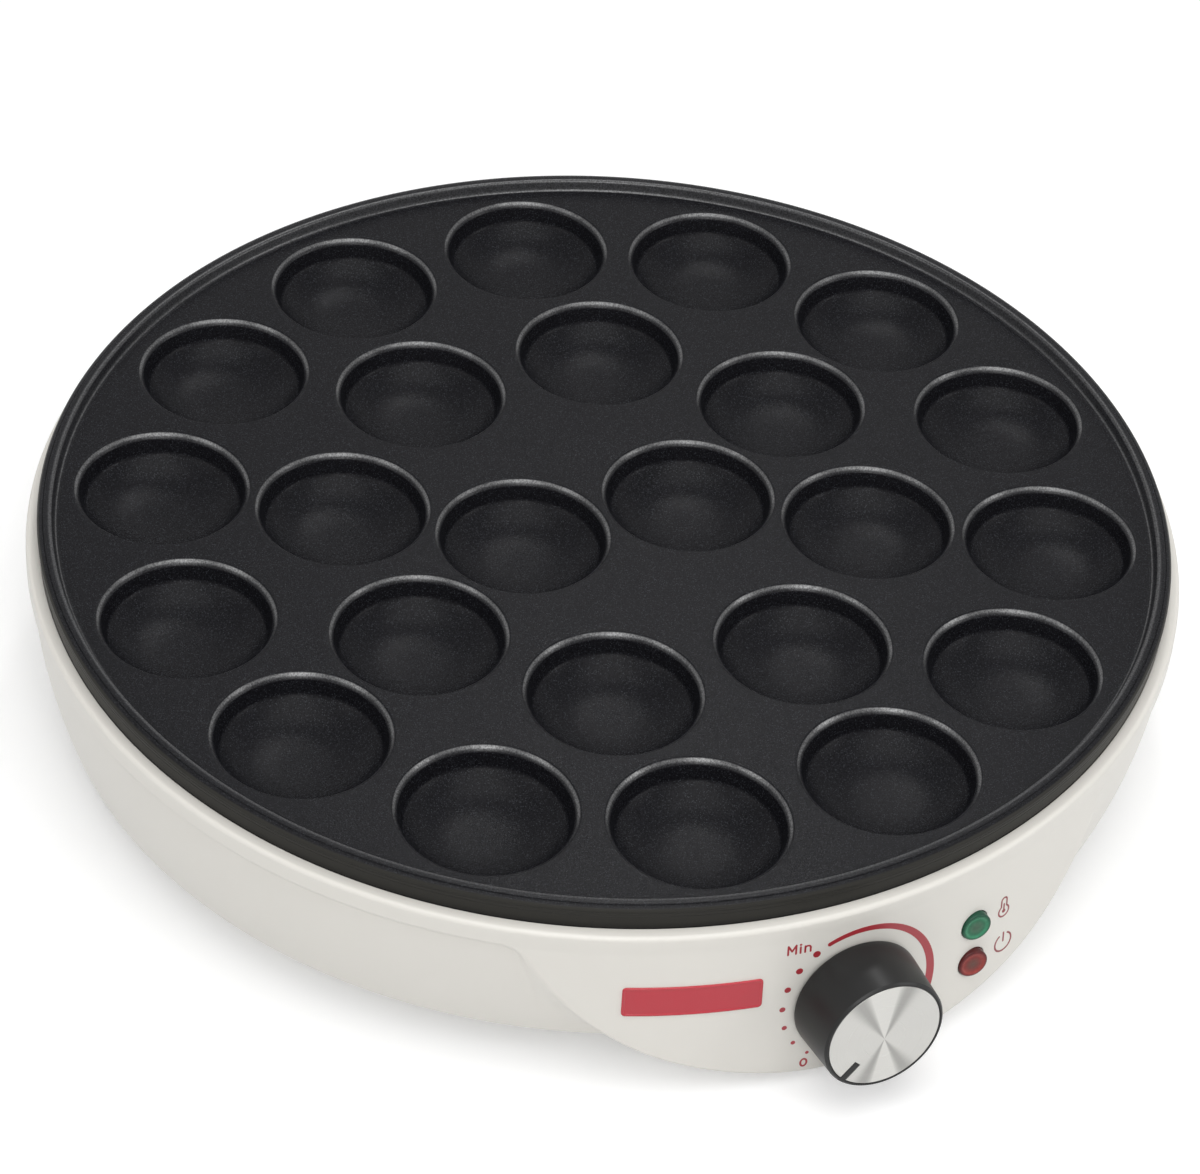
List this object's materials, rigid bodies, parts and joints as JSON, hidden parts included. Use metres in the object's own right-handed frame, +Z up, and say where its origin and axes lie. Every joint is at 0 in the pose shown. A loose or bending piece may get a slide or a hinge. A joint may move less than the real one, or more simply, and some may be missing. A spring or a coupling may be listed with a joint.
{
  "type": "mini pancake maker",
  "caption": "Round countertop mini pancake maker: cast plate with round wells on a moulded base with a thermostat knob and two indicator lamps.",
  "frame": {"origin": "the point of the table right under the cooking plate's axis", "axes": "+Z up along the plate's axis, the knob faces -Y, +X is to the right of someone who faces the knob"},
  "size_m": [0.306, 0.3261, 0.06],
  "materials": {
    "coated_plate": "satin non-stick coating with fine speckles",
    "cream_shell": "glossy moulded plastic",
    "cover_shell": "matte moulded plastic",
    "knob_black": "satin black plastic",
    "spun_aluminium": "spun metal",
    "green_glow": "clear green plastic",
    "red_glow": "clear red plastic",
    "steel": "bare steel",
    "element_sheath": "heat-tinted steel",
    "galvanised": "zinc-coated sheet",
    "ceramic_white": "unglazed ceramic",
    "phenolic": "heat-proof moulding",
    "brass_metal": "bare brass",
    "black_rubber": "matte rubber",
    "black_plastic": "matte moulded plastic"
  },
  "bodies": {
    "base": {"cooking_plate": "coated_plate", "outer_element": "element_sheath", "inner_element": "element_sheath", "element_bushes": "ceramic_white", "element_saddles": "galvanised", "heat_shield": "galvanised", "earth_tag": "brass_metal", "earth_screw": "steel", "earth_nut": "steel", "plate_spacers": "ceramic_white", "plate_screws": "steel", "base_housing": "cream_shell", "base_cover": "cover_shell", "cover_screws": "steel", "rubber_feet": "black_rubber", "thermostat_body": "phenolic", "thermostat_bracket": "galvanised", "thermostat_screws": "steel", "thermostat_nut": "brass_metal", "green_lens": "green_glow", "red_lens": "red_glow", "lamp_holders": "ceramic_white", "lamp_retainers": "galvanised", "sensing_bulb": "steel", "bulb_clip": "galvanised", "thermal_fuse": "steel", "fuse_clip": "galvanised", "clip_rivets": "steel", "capillary_tube": "steel", "mains_inlet": "black_plastic", "inlet_blades": "brass_metal", "terminal_block": "ceramic_white", "terminal_screws": "brass_metal"},
    "knob": {"thermostat_shaft": "steel", "knob_grip": "knob_black", "knob_disc": "spun_aluminium", "knob_spring": "steel"}
  },
  "joints": [
    {"name": "knob_turn", "type": "hinge", "parent": "base", "child": "knob", "pos_m": [0, -0.15462, 0.0251], "axis": [0, 0.9973, -0.0732], "range_deg": [0, 270]}
  ]
}
